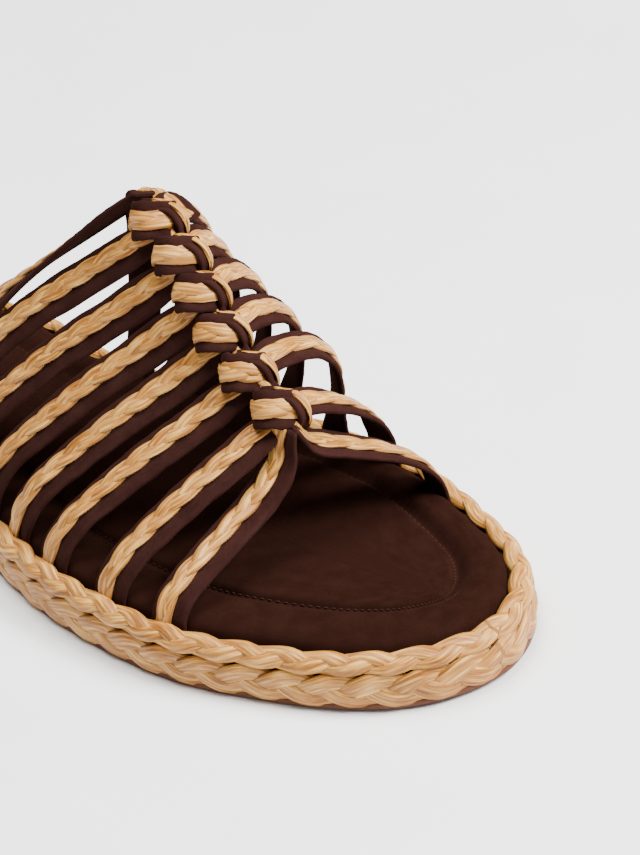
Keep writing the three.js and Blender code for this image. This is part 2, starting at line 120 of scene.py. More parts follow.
REAR_INNER_LEG = [
    (0.00, 0.00, 0.97), (0.15, 0.18, 1.00), (0.38, 0.38, 0.97), (0.64, 0.58, 0.86),
    (0.87, 0.78, 0.66), (0.98, 0.92, 0.40), (1.01, 0.98, 0.18), (1.00, 1.00, 0.00),
]
LOW_INNER_LEG = [
    (0.00, 0.00, 0.97), (0.25, 0.05, 0.92), (0.50, 0.13, 0.80), (0.72, 0.25, 0.65),
    (0.90, 0.42, 0.46), (0.97, 0.60, 0.29), (1.00, 0.80, 0.14), (1.00, 1.00, 0.00),
]
FRONT_OUTER_LEG = [
    (0.00, 0.00, 1.00), (0.07, 0.07, 0.75), (0.25, 0.25, 0.545), (0.50, 0.50, 0.40),
    (0.70, 0.70, 0.295), (0.87, 0.87, 0.195), (0.96, 0.96, 0.11), (1.00, 1.00, 0.00),
]
FRONT_INNER_LEG = [
    (0.00, 0.00, 1.00), (0.10, 0.10, 0.82), (0.30, 0.30, 0.70), (0.50, 0.50, 0.59),
    (0.70, 0.70, 0.47), (0.87, 0.87, 0.325), (0.97, 0.97, 0.165), (1.00, 1.00, 0.00),
]

# Where the legs of the first and the last strap start beside their knots
REAR_INNER_START = (5.0 * MM, -3.2 * MM, -0.8 * MM)
FRONT_START = (0.6 * MM, 0.6 * MM, -1.6 * MM)
RIDGE_LEAN = 0.45              # how far the row of starts leans to the inner side

# The ways that the legs' widths and faces turn, and the shares of a leg over which they do
TWIST_END = 0.87
TWIST_IN, TWIST_OUT = 0.35, 0.3
REAR_TWIST_END = 0.8
INNER_LEG_TURN = (0.42, 0.90, 0.08)
REAR_OUTER_ACROSS = (0.48, 0.56, -0.71)
REAR_INNER_ACROSS = (-0.75, 0.65, 0.14)
REAR_OUTER_FACE = (-0.2, 0.6, 0.9)
LEG_LIFT = 0.9
TURNED_LEGS = 6                # inner legs, from the back, that turn their inner faces forwards
NARROW_START = 0.8             # share of its width that a leg has at its knot
OUTER_PLAIT_OFFSET = -1.2 * MM  # an outer leg's plait lies nearer the rear edge of its band

# The plait on a strap
STRAP_LOBE = 8.2 * MM
STRAND_HALF = 0.31             # half the width of a strand, as a share of the plait's
STRAND_DEPTH = 0.45 * MM
STRAND_WEAVE = 0.26 * MM
PLAIT_SHIFT = 1.3 * MM

# The parts of a knot, in its own axes and in millimetres: across, up the instep, and out of it
KNOT_AZIMUTH, KNOT_ELEVATION, KNOT_ROLL = -35, 33, 10
KNOT_OFFSET = (-1.8 * MM, -0.2 * MM, 0)
KNOT_STEP = 0.7 * MM
WRAP_WIDTH = 10.0 * MM
WRAP_PLAIT_DROP = 0.2 * MM
WRAP = [
    (-2.4, -0.3, -4.6), (-3.7, -0.3, -2.4), (-3.9, -0.2, -0.4), (-3.0, -0.2, 1.5), (-1.0, -0.2, 2.5),
    (1.2, -0.2, 2.6), (3.4, -0.1, 1.8), (4.4, 0.0, 0.2), (4.2, 0.1, -2.2), (3.2, 0.1, -4.2),
]
CRESCENT_BAND = 5.0 * MM
CRESCENT_PLAIT = (0.20, 0.80)  # the stretch of the crescent that carries raffia
CRESCENT_RAFFIA = 2.5 * MM
CRESCENT_TURN = 58             # degrees that the crescent's face is turned from out to outwards
CRESCENT_CENTRE = (1.4, -2.2, 0)
CRESCENT = [
    (-3.0, 3.0, -2.4), (-0.8, 3.1, 0.0), (1.7, 2.7, 1.3), (3.8, 2.1, 2.1), (5.5, 0.7, 1.9),
    (6.5, -0.9, 1.1), (6.8, -2.4, -0.2), (6.2, -3.7, -1.9), (5.2, -4.6, -3.6),
]
CRESCENT_OFFSET = 1.1 * MM
WRAP_HUB = (0.3, -0.3, -1.0)
WRAP_OFFSET = 0.1 * MM
KNOT_BULK = (4.2 * MM, 5.0 * MM, 2.4 * MM)
BULK_CENTRE = (0.4, 0, -0.4)

# The strap that runs down under the knots
RIDGE_WIDTH = 6.5 * MM
RIDGE_RAFFIA = 2.6 * MM
RIDGE_PLAIT_DROP = 0.5 * MM
RIDGE_SINK = 0.6 * MM

# The outer skins of the two rim braids across the rim: (inset, height)
LOWER_BRAID_SKIN = [
    (0.5 * MM, midsole_bottom - 1.6 * MM), (0.0 * MM, midsole_bottom + 0.13 * LOWER_BRAID_HEIGHT),
    (-0.2 * MM, midsole_bottom + 0.48 * LOWER_BRAID_HEIGHT),
    (0.0 * MM, midsole_bottom + 0.81 * LOWER_BRAID_HEIGHT), (0.45 * MM, crease_height + 0.3 * MM),
]
UPPER_BRAID_SKIN = [
    (0.45 * MM, crease_height - 0.3 * MM), (0.2 * MM, crease_height + 0.9 * MM),
    (0.9 * MM, crease_height + 2.7 * MM), (2.8 * MM, rim_height + 0.6 * MM),
    (4.7 * MM, rim_height + 1.0 * MM), (LIP_WIDTH, rim_height + 0.5 * MM),
]
BRAID_DEPTH = 0.85 * MM
BRAID_SINK = 1.1 * MM
BRAID_WEAVE = 0.45 * MM

# The insole's rolled rim: shares of the way to the groove and of the insole's thickness
INSOLE_ROLL = [
    (0.0, 0.0), (-0.015, 0.35), (0.015, 0.62), (0.08, 0.83), (0.19, 0.95), (0.32, 1.0), (0.44, 1.0),
]
# Its roll beside the groove and the panel's edge past it: distance and drop from the top, in mm
ROLL_SIDE = [(4.6, 0.05), (3.6, 0.35), (2.6, 0.95), (1.6, 1.70), (0.7, 2.4), (0.0, 2.65)]
PANEL_SIDE = [(0.3, 2.45), (0.6, 1.9), (1.1, 1.4), (1.9, 1.05)]
PANEL_SHARES = (0.03, 0.07, 0.12, 0.18, 0.26, 0.36, 0.48, 0.64, 0.82)
PANEL_CROWN = 0.45 * MM
CROWN_REACH = 10 * MM
GROOVE_EASE = 12               # stations over which the groove's corners are eased
RIM_WRINKLE = 0.06 * MM
ROLL_PUCKER, ROLL_WRINKLE = 0.12 * MM, 0.04 * MM
PANEL_PULL, PANEL_PUCKER = 0.08 * MM, 0.14 * MM
PANEL_WRINKLE = 0.05 * MM

# The stitches in the groove
STITCH_PITCH = 2.5 * MM
STITCH_SHARE = 0.62            # share of the pitch that a stitch covers
STITCH_RADIUS = 0.22 * MM
STITCH_BEND = 0.12 * MM
STITCH_INSET = 0.35 * MM
STITCH_DROP = 2.3 * MM

# The camera, fitted to the sole's outline in the photograph
CAMERA_AZIMUTH = -35.336
CAMERA_ELEVATION = 33.244
CAMERA_ROLL = 9.884
CAMERA_DISTANCE = 850 * MM
CAMERA_TARGET = (16.94 * MM, -58.84 * MM, 42.37 * MM)
LENS = 141.0


# Curves

SPLINE_STEPS = 40


def spline(points, closed=False):
    """A dense centripetal Catmull-Rom curve through points."""
    p = np.asarray(points, float)
    if closed:
        p0, p1, p2, p3 = np.roll(p, 1, 0), p, np.roll(p, -1, 0), np.roll(p, -2, 0)
    else:
        longer = np.vstack([2 * p[0] - p[1], p, 2 * p[-1] - p[-2]])
        p0, p1, p2, p3 = longer[:-3], longer[1:-2], longer[2:-1], longer[3:]
    d0, d1, d2 = (
        np.sqrt(np.linalg.norm(b - a, axis=1))[:, None] for a, b in ((p0, p1), (p1, p2), (p2, p3))
    )
    start = ((p1 - p0) / d0 - (p2 - p0) / (d0 + d1) + (p2 - p1) / d1) * d1
    stop = ((p2 - p1) / d1 - (p3 - p1) / (d1 + d2) + (p3 - p2) / d2) * d1
    w = (np.arange(SPLINE_STEPS) / SPLINE_STEPS)[None, :, None]
    square = 3 * (p2 - p1) - 2 * start - stop
    cube = 2 * (p1 - p2) + start + stop
    dense = p1[:, None] + start[:, None] * w + square[:, None] * w**2 + cube[:, None] * w**3
    dense = dense.reshape(-1, p.shape[1])
    return dense if closed else np.vstack([dense, p[-1]])


def evenly(curve, count, closed=False):
    """count points evenly spaced along a dense curve."""
    loop = np.vstack([curve, curve[:1]]) if closed else curve
    run = np.concatenate([[0], np.cumsum(np.linalg.norm(np.diff(loop, axis=0), axis=1))])
    stations = np.linspace(0, run[-1], count, endpoint=not closed)
    return np.column_stack([np.interp(stations, run, loop[:, k]) for k in range(loop.shape[1])])


def facing_axes(azimuth, elevation, roll):
    """The right, up and back of something that looks at the part from these angles, in degrees."""
    azimuth, elevation, roll = (math.radians(angle) for angle in (azimuth, elevation, roll))
    back = Vector((math.sin(azimuth) * math.cos(elevation), -math.cos(azimuth) * math.cos(elevation),
                   math.sin(elevation)))
    level = Vector((math.cos(azimuth), math.sin(azimuth), 0))
    upright = back.cross(level)
    right = level * math.cos(roll) - upright * math.sin(roll)
    up = level * math.sin(roll) + upright * math.cos(roll)
    return right, up, back


def unit(vectors):
    """Vectors of length 1 with the same directions."""
    return vectors / np.linalg.norm(vectors, axis=-1, keepdims=True)


def smooth_step(share):
    """0 up to a share of 0, 1 from a share of 1, and a soft rise between."""
    share = np.clip(share, 0, 1)
    return share * share * (3 - 2 * share)


# The sole's outline

OUTLINE_STATIONS = 960


def outline_points():
    """Points around the sole from the toe, along the inner side to the heel and back."""
    inner = [(m * BALL_WIDTH, (a - 0.5) * SOLE_LENGTH) for a, _, m in OUTLINE]
    outer = [(l * BALL_WIDTH, (a - 0.5) * SOLE_LENGTH) for a, l, _ in OUTLINE[1:-1]]
    points = evenly(spline(inner + outer[::-1], closed=True), OUTLINE_STATIONS, closed=True)
    low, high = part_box("outsole")
    middle = (points.min(0) + points.max(0)) / 2
    return points + np.array([(low.x + high.x) / 2, (low.y + high.y) / 2]) - middle


outline = outline_points()
outline_tangent = unit(np.roll(outline, -1, 0) - np.roll(outline, 1, 0))
outline_normal = np.column_stack([outline_tangent[:, 1], -outline_tangent[:, 0]])
outline_steps = np.linalg.norm(np.roll(outline, -1, 0) - outline, axis=1)
outline_run = np.concatenate([[0], np.cumsum(outline_steps)])
PERIMETER = outline_run[-1]
shift_x = outline[0, 0] - OUTLINE[0][2] * BALL_WIDTH


def toe_lift(y):
    """How far the sole is lifted at a place along it."""
    share = np.clip((TOE_SPRING_START - (y / SOLE_LENGTH + 0.5)) / TOE_SPRING_START, 0, 1)
    return TOE_SPRING * share**2


def around(run, values):
    """Values given at the outline's stations, read at distances run around the sole."""
    looped = np.vstack([values, values[:1]])
    at = np.mod(run, PERIMETER)
    return np.stack([np.interp(at, outline_run, looped[:, k]) for k in range(2)], axis=-1)


def sole_ring(inset, height):
    """A ring around the sole at an inset and a height, numbers or one per station."""
    ring = outline - outline_normal * np.reshape(inset * np.ones(OUTLINE_STATIONS), (-1, 1))
    return np.column_stack([ring, height + toe_lift(ring[:, 1])])


# Meshes

def mesh_object(name, vertices, faces, uvs, material, node):
    """A smooth mesh piece that stands for a CAD node. uvs are per vertex, in metres."""
    mesh = bpy.data.meshes.new(name)
    mesh.from_pydata([tuple(v) for v in vertices], [], [tuple(f) for f in faces])
    layer = mesh.uv_layers.new(name="UVMap")
    corners = np.zeros(len(mesh.loops), dtype=np.int32)
    mesh.loops.foreach_get("vertex_index", corners)
    layer.data.foreach_set("uv", np.asarray(uvs, np.float32)[corners].ravel())
    mesh.polygons.foreach_set("use_smooth", [True] * len(mesh.polygons))
    mesh.materials.append(material)
    mesh.validate()
    piece = bpy.data.objects.new(name, mesh)
    bpy.context.scene.collection.objects.link(piece)
    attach(piece, "root")
    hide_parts(node)
    return piece


def grid_faces(rows, columns, closed_rows, closed_columns, offset=0):
    """Quads over a grid of points, row by row."""
    r, c = np.meshgrid(
        np.arange(rows if closed_rows else rows - 1),
        np.arange(columns if closed_columns else columns - 1), indexing="ij")
    r, c = r.ravel(), c.ravel()
    next_r, next_c = (r + 1) % rows, (c + 1) % columns
    corners = [r * columns + c, r * columns + next_c, next_r * columns + next_c, next_r * columns + c]
    return np.column_stack(corners) + offset


def end_caps(rows, columns, offset=0):
    """One face over each open end of a tube grid."""
    first = [offset + k for k in range(columns)][::-1]
    last = [offset + (rows - 1) * columns + k for k in range(columns)]
    return [first, last]


class Tubes:
    """Gathers tubes, given as grids of points, into one mesh."""

    def __init__(self):
        self.vertices, self.faces, self.uvs, self.count = [], [], [], 0

    def add(self, grid, uv, closed=False):
        rows, columns = grid.shape[:2]
        self.vertices.append(grid.reshape(-1, 3))
        self.uvs.append(uv.reshape(-1, 2))
        self.faces += grid_faces(rows, columns, closed, True, self.count).tolist()
        if not closed:
            self.faces += end_caps(rows, columns, self.count)
        self.count += rows * columns

    def build(self, name, material, node, slot):
        vertices, uvs = np.vstack(self.vertices), np.vstack(self.uvs)
        return mesh_object(name, vertices, self.faces, uvs, material, node)


# Ribbons: the surfaces that bands and plaits lie on

class Ribbon:
    """A strip along a route, with the way across and the way out at each point."""

    closed = False

    def __init__(self, points, across, out):
        self.points, self.across, self.out = points, across, out
        self.run = np.concatenate([[0], np.cumsum(np.linalg.norm(np.diff(points, axis=0), axis=1))])
        self.length = self.run[-1]

    def part(self, first, last):
        """The stretch of the strip between two shares of its way."""
        keep = (self.run >= first * self.length) & (self.run <= last * self.length)
        return Ribbon(self.points[keep], self.across[keep], self.out[keep])

    def read(self, along, values):
        return np.stack([np.interp(along, self.run, values[:, k]) for k in range(3)], axis=-1)

    def place(self, along, across, up):
        """Points at distances along, across and above the strip."""
        middle = self.read(along, self.points)
        sideways, outwards = self.read(along, self.across), self.read(along, self.out)
        return middle + sideways * across[..., None] + outwards * up[..., None]


class RimRibbon:
    """A strip around the whole sole whose section follows a skin of (inset, height) points."""

    closed = True
    length = PERIMETER

    def __init__(self, skin):
        self.skin = evenly(spline(skin), 80)
        steps = np.linalg.norm(np.diff(self.skin, axis=0), axis=1)
        self.run = np.concatenate([[0], np.cumsum(steps)]) - steps.sum() / 2
        self.width = steps.sum()
        tangent = unit(np.gradient(self.skin, axis=0))
        self.out = np.column_stack([-tangent[:, 1], tangent[:, 0]])

    def place(self, along, across, up):
        at = np.clip(across, self.run[0], self.run[-1])
        beyond = across - at
        inset, height, out_inset, out_height = (
            np.interp(at, self.run, values)
            for values in (self.skin[:, 0], self.skin[:, 1], self.out[:, 0], self.out[:, 1])
        )
        inset = inset + out_inset * up + out_height * beyond
        height = height + out_height * up - out_inset * beyond
        plan = around(along, outline) - around(along, outline_normal) * inset[..., None]
        return np.concatenate([plan, (height + toe_lift(plan[..., 1]))[..., None]], axis=-1)


def ribbon_along(points, width_at, outside, count):
    """A ribbon on a smooth curve. width_at gives the wanted width direction at shares of the way,
    and outside the way that the outer face turns."""
    curve = evenly(spline(points), count)
    tangent = unit(np.gradient(curve, axis=0))
    share = np.linspace(0, 1, count)
    out = unit(np.cross(width_at(share), tangent))
    facing = np.sum(out * outside(curve), axis=1, keepdims=True)
    out = out * np.where(facing < 0, -1, 1)
    return Ribbon(curve, unit(np.cross(out, tangent)), out)


# Plaits and bands

STRAND_RIDGE = 0.06            # depth of the ridges along a strand, as a share of its size
STRAND_SWELL = 0.07
STRAND_WAVES = 9
STRAND_ROUNDNESS = 0.8
BAND_SIDES = 28
BAND_STEP = 1.2 * MM
BAND_DIP = 0.45 * MM
DIP_REACH = 0.3                # share of the width to which the dip under the plait reaches
BAND_FLATNESS, BAND_ROUNDNESS = 0.4, 0.75
BAND_WAVER = 0.025
BAND_WAVES = 8
BAND_PUCKER, PUCKER_PITCH = 0.06 * MM, 4.1 * MM
NARROWING = 14 * MM


def slow_wave(rng, run, length, waves, closed):
    """A smooth random wave along a strand, within about 1 either way."""
    total = np.zeros_like(run)
    for k in range(1, waves + 1):
        turns = k if closed else k * rng.uniform(0.7, 1.3)
        total += rng.normal() * np.sin(2 * math.pi * turns * run / length + rng.uniform(0, 6.28))
    return total / math.sqrt(waves)


def plait(tubes, ribbon, lobe, spread, half_width, half_height, lift, weave, hand, seed, sides, step,
          start, offset=0.0, taper=0.0):
    """Adds the three strands of a flat plait on a ribbon. lobe is the distance between lobes on an
    edge, spread how far a strand swings to each side, weave how far it goes over and under. hand is
    1 where the strands on top run outwards along the ribbon, and -1 where they run inwards. taper
    is the share of the width that the plait loses at its ends."""
    rng = np.random.default_rng(seed)
    turns = ribbon.length / (3 * lobe)
    if ribbon.closed:
        turns = round(turns)
    count = max(12, int(ribbon.length / step))
    run = np.linspace(0, ribbon.length, count, endpoint=not ribbon.closed)
    angle = np.linspace(0, 2 * math.pi, sides, endpoint=False)
    ridges = 1 + STRAND_RIDGE * np.where(np.arange(sides) % 2, 1, -1)
    rate = 2 * math.pi * turns / ribbon.length
    full = 1 - taper + taper * np.sin(math.pi * run / ribbon.length)
    for strand in range(3):
        phase = rate * (run - start) + 2 * math.pi * strand / 3
        wave = slow_wave(rng, run, ribbon.length, STRAND_WAVES, ribbon.closed)
        swell = full * (1 + STRAND_SWELL * wave)
        x = offset + full * spread * np.sin(phase)
        z = lift + hand * weave * np.sin(2 * phase)
        slope_x = spread * rate * np.cos(phase)
        slope_z = hand * weave * 2 * rate * np.cos(2 * phase)
        tangent = unit(np.column_stack([np.ones(count), slope_x, slope_z]))
        side = unit(np.column_stack([-slope_x, np.ones(count), np.zeros(count)]))
        top = np.cross(tangent, side)
        wide = (half_width * swell)[:, None] * (np.cos(angle) * ridges)[None, :]
        deep = (half_height * swell)[:, None] * (
            np.sign(np.sin(angle)) * np.abs(np.sin(angle)) ** STRAND_ROUNDNESS * ridges)[None, :]
        centre = np.column_stack([run, x, z])
        local = (centre[:, None, :] + side[:, None, :] * wide[..., None]
                 + top[:, None, :] * deep[..., None])
        grid = ribbon.place(local[..., 0], local[..., 1], local[..., 2])
        uv = np.zeros((count, sides, 2))
        uv[..., 0] = run[:, None] + 0.7 * strand + 2.3 * (seed % 17)
        uv[..., 1] = (angle / (2 * math.pi) * 4 * half_width)[None, :] + 0.011 * strand
        tubes.add(grid, uv, ribbon.closed)


def band(tubes, ribbon, width, seed, step=BAND_STEP, narrow_start=1.0):
    """Adds a padded satin band on a ribbon: rounded edges, and a dip along the middle of its top
    where the plait is sewn down. narrow_start is its share of the full width at its start."""
    rng = np.random.default_rng(seed)
    count = max(10, int(ribbon.length / step))
    run = np.linspace(0, ribbon.length, count)
    angle = np.linspace(0, 2 * math.pi, BAND_SIDES, endpoint=False)
    shape_x = np.sign(np.cos(angle)) * np.abs(np.cos(angle)) ** BAND_FLATNESS
    shape_z = 0.5 + 0.5 * np.sign(np.sin(angle)) * np.abs(np.sin(angle)) ** BAND_ROUNDNESS
    narrowing = narrow_start + (1 - narrow_start) * smooth_step(run / NARROWING)
    edge = 1 + BAND_WAVER * slow_wave(rng, run, ribbon.length, BAND_WAVES, False)
    x = (narrowing * edge)[:, None] * (shape_x * width / 2)[None, :]
    top = np.sin(angle) > 0
    wave = np.sin(2 * math.pi * run / PUCKER_PITCH)
    z = (shape_z * BAND_THICKNESS)[None, :] + BAND_PUCKER * wave[:, None] * (top * np.abs(shape_x))
    z = z - BAND_DIP * np.exp(-(x / (DIP_REACH * width)) ** 4) * top
    along = np.repeat(run[:, None], BAND_SIDES, axis=1)
    grid = ribbon.place(along, x, z)
    uv = np.zeros((count, BAND_SIDES, 2))
    uv[..., 0] = along + 1.7 * (seed % 13)
    uv[..., 1] = (angle / (2 * math.pi) * 2 * width)[None, :]
    tubes.add(grid, uv)


# Materials

def node_tree(name):
    """A new material, and the nodes, links and shader that it starts with."""
    material = bpy.data.materials.new(name)
    material.use_nodes = True
    tree = material.node_tree
    return material, tree.nodes, tree.links, tree.nodes["Principled BSDF"]


def noise(nodes, links, vector, scale, detail, roughness):
    """A noise texture on a stretched copy of a vector."""
    mapping = nodes.new("ShaderNodeMapping")
    mapping.inputs["Scale"].default_value = scale
    links.new(vector, mapping.inputs["Vector"])
    texture = nodes.new("ShaderNodeTexNoise")
    texture.inputs["Scale"].default_value = 1.0
    texture.inputs["Detail"].default_value = detail
    texture.inputs["Roughness"].default_value = roughness
    links.new(mapping.outputs["Vector"], texture.inputs["Vector"])
    return texture.outputs["Fac"]


def ramp(nodes, links, factor, stops):
    """A colour ramp with (position, colour) stops."""
    node = nodes.new("ShaderNodeValToRGB")
    elements = node.color_ramp.elements
    while len(elements) < len(stops):
        elements.new(0.5)
    for element, (position, colour) in zip(elements, stops):
        element.position = position
        element.color = (*colour, 1)
    links.new(factor, node.inputs["Fac"])
    return node.outputs["Color"]


def blend_colours(nodes, links, factor, first, second):
    """A mix of two colours, with factor as the share of the second."""
    node = nodes.new("ShaderNodeMix")
    node.data_type = "RGBA"
    node.inputs["Factor"].default_value = factor
    links.new(first, node.inputs["A"])
    links.new(second, node.inputs["B"])
    return node.outputs["Result"]


def bump(nodes, links, shader, height, distance, strength, before=None):
    """A bump on the shader, on top of the bump before it."""
    node = nodes.new("ShaderNodeBump")
    node.inputs["Strength"].default_value = strength
    node.inputs["Distance"].default_value = distance
    links.new(height, node.inputs["Height"])
    if before is not None:
        links.new(before, node.inputs["Normal"])
    links.new(node.outputs["Normal"], shader.inputs["Normal"])
    return node.outputs["Normal"]


def raffia_material(name, dark, middle, pale):
    """Plaited raffia: fine fibres along each strand, broad streaks and patches of tone."""
    material, nodes, links, shader = node_tree(name)
    uv = nodes.new("ShaderNodeTexCoord").outputs["UV"]
    fibres = noise(nodes, links, uv, (110, 1700, 1), 4, 0.6)
    streaks = noise(nodes, links, uv, (45, 750, 1), 2, 0.5)
    patches = noise(nodes, links, uv, (60, 100, 1), 2, 0.5)
    fibre_colour = ramp(nodes, links, fibres, [(0.36, dark), (0.50, middle), (0.66, pale)])
    patch_colour = ramp(nodes, links, patches, [(0.32, dark), (0.52, middle), (0.70, pale)])
    streak_colour = ramp(nodes, links, streaks, [(0.34, dark), (0.50, middle), (0.66, pale)])
    mixed = blend_colours(nodes, links, 0.5, patch_colour, streak_colour)
    colour = blend_colours(nodes, links, 0.65, mixed, fibre_colour)
    links.new(colour, shader.inputs["Base Color"])
    shader.inputs["Roughness"].default_value = 0.45
    shader.inputs["Specular IOR Level"].default_value = 0.3
    first = bump(nodes, links, shader, streaks, 0.45 * MM, 0.8)
    bump(nodes, links, shader, fibres, 0.16 * MM, 0.9, first)
    return material


def satin_material(name, dark, light, roughness, weave_scale):
    """Brown satin: a fine ribbed weave, faint crushing and a soft sheen."""
    material, nodes, links, shader = node_tree(name)
    uv = nodes.new("ShaderNodeTexCoord").outputs["UV"]
    threads = noise(nodes, links, uv, (weave_scale, weave_scale * 4, 1), 2, 0.6)
    crush = noise(nodes, links, uv, (140, 260, 1), 3, 0.55)
    colour = ramp(nodes, links, crush, [(0.30, dark), (0.72, light)])
    thread_colour = ramp(nodes, links, threads, [(0.32, dark), (0.70, light)])
    links.new(blend_colours(nodes, links, 0.4, colour, thread_colour), shader.inputs["Base Color"])
    shader.inputs["Roughness"].default_value = roughness
    shader.inputs["Specular IOR Level"].default_value = 0.0
    shader.inputs["Specular Tint"].default_value = (1.0, 0.72, 0.6, 1)
    shader.inputs["Sheen Weight"].default_value = 0.05
    shader.inputs["Sheen Roughness"].default_value = 0.35
    shader.inputs["Sheen Tint"].default_value = (0.6, 0.3, 0.22, 1)
    first = bump(nodes, links, shader, crush, 0.25 * MM, 0.35)
    bump(nodes, links, shader, threads, 0.04 * MM, 0.5, first)
    return material


def leather_material(name, dark, light):
    """Smooth sole leather with a cut edge: fine grain and mottling."""
    material, nodes, links, shader = node_tree(name)
    place = nodes.new("ShaderNodeTexCoord").outputs["Object"]
    mottle = noise(nodes, links, place, (90, 90, 90), 4, 0.6)
    grain = noise(nodes, links, place, (1800, 1800, 1800), 3, 0.5)
    links.new(ramp(nodes, links, mottle, [(0.3, dark), (0.7, light)]), shader.inputs["Base Color"])
    shader.inputs["Roughness"].default_value = 0.6
    shader.inputs["Specular IOR Level"].default_value = 0.2
    bump(nodes, links, shader, grain, 0.05 * MM, 0.6)
    return material


# Each material's colours from dark to light, as linear red, green and blue
RAFFIA = ((0.13, 0.034, 0.004), (0.37, 0.145, 0.019), (0.74, 0.44, 0.13))
# The core's colours are the raffia's, darkened: painted shade for the holes between the rim braids.
CORE_PAINTED_SHADE = ((0.03, 0.010, 0.003), (0.05, 0.018, 0.005), (0.08, 0.03, 0.01))
STRAP_SATIN = ((0.016, 0.0055, 0.0045), (0.032, 0.0125, 0.010))
INSOLE_SATIN = ((0.011, 0.0038, 0.0025), (0.019, 0.007, 0.0048))
STITCHES = ((0.02, 0.008, 0.006), (0.04, 0.018, 0.014))
LEATHER = ((0.075, 0.024, 0.010), (0.125, 0.043, 0.02))

raffia = raffia_material("raffia_plait", *RAFFIA)
rim_raffia = raffia_material("raffia_rim", *RAFFIA)
# A darkened copy of the raffia material, as painted shade in the holes between the rim braids.
shaded_core_raffia = raffia_material("raffia_core_painted_shade", *CORE_PAINTED_SHADE)
strap_satin = satin_material("satin_strap", *STRAP_SATIN, roughness=0.7, weave_scale=900)
insole_satin = satin_material("satin_insole", *INSOLE_SATIN, roughness=0.5, weave_scale=1100)
stitch_thread = satin_material("stitch_thread", *STITCHES, roughness=0.5, weave_scale=2000)
outsole_leather = leather_material("outsole_leather", *LEATHER)


# The sole

def ringed_object(name, rings, material, node):
    """A closed skin of rings around the sole, from its underside over its edge to its top, with
    the first and last rings filled across from the outer to the inner side."""
    count = OUTLINE_STATIONS
    grid = np.stack(rings)
    rows = len(rings)
    faces = grid_faces(rows, count, False, True).tolist()
    for row, flip in ((0, True), (rows - 1, False)):
        for i in range(1, count // 2):
            quad = [row * count + k for k in (i, i + 1, (count - i - 1) % count, count - i)]
            faces.append(quad[::-1] if flip else quad)
        tip = (1, 0, count - 1) if flip else (0, 1, count - 1)
        faces.append([row * count + k for k in tip])
    girth = np.concatenate([[0], np.cumsum([
        float(np.linalg.norm(b - a, axis=1).mean()) for a, b in zip(rings, rings[1:])])])
    uv = np.stack(np.meshgrid(girth, outline_run[:-1], indexing="ij")[::-1], axis=-1)
    return mesh_object(name, grid.reshape(-1, 3), faces, uv.reshape(-1, 2), material, node)


def outsole():
    """A thin leather sheet with slightly rounded edges."""
    edge = 0.25 * MM
    section = [(3 * edge, 0), (edge, 0), (0, edge), (0, outsole_top - edge), (edge, outsole_top),
               (3 * edge, outsole_top)]
    rings = [sole_ring(OUTSOLE_INSET + inset, height) for inset, height in section]
    ringed_object("outsole_sheet", rings, outsole_leather, "outsole")


def rim_core():
    """The filling behind the braids, which shows only in the holes between them; its colour is a
    darkened copy of the raffia, painted shade for those holes.
    """
    back = 3.0 * MM
    section = [(back, midsole_bottom + 0.3 * MM), (back, crease_height),
               (back + 0.4 * MM, crease_height + 1.4 * MM),
               (LIP_WIDTH - 0.2 * MM, crease_height + 1.6 * MM), (LIP_WIDTH, recess_floor)]
    rings = [sole_ring(inset, height) for inset, height in section]
    ringed_object("rim_core", rings, shaded_core_raffia, "midsole_braids")


def rim_braids():
    """The two raffia braids around the sole's side, the upper one rolled over its edge."""
    lobe = PERIMETER / LOBES
    for name, skin, hand, valley, seed in (("rim_braid_lower", LOWER_BRAID_SKIN, 1, 0.25, 11),
                                           ("rim_braid_upper", UPPER_BRAID_SKIN, -1, 0.75, 23)):
        ribbon = RimRibbon(skin)
        tubes = Tubes()
        plait(tubes, ribbon, lobe, spread=0.29 * ribbon.width, half_width=0.26 * ribbon.width,
              half_height=BRAID_DEPTH, lift=-BRAID_SINK, weave=BRAID_WEAVE, hand=hand, seed=seed,
              sides=24, step=1.0 * MM, start=HOLE_STATION - valley * lobe)
        tubes.build(name, rim_raffia, "midsole_braids", "raffia")


# The insole

def rim_margin():
    """How far the groove lies inside the insole's edge, all the way around."""
    return (RIM_MARGIN - RIM_MARGIN_SIDE * outline_normal[:, 0]
            - RIM_MARGIN_TOE * outline_normal[:, 1])


def smoothed(ring, stations):
    """A closed ring with its corners eased, by a bell-shaped average over some stations."""
    reach = np.arange(-3 * stations, 3 * stations + 1)
    weights = np.exp(-0.5 * (reach / stations) ** 2)
    weights /= weights.sum()
    return sum(weight * np.roll(ring, -int(k), 0) for k, weight in zip(reach, weights))


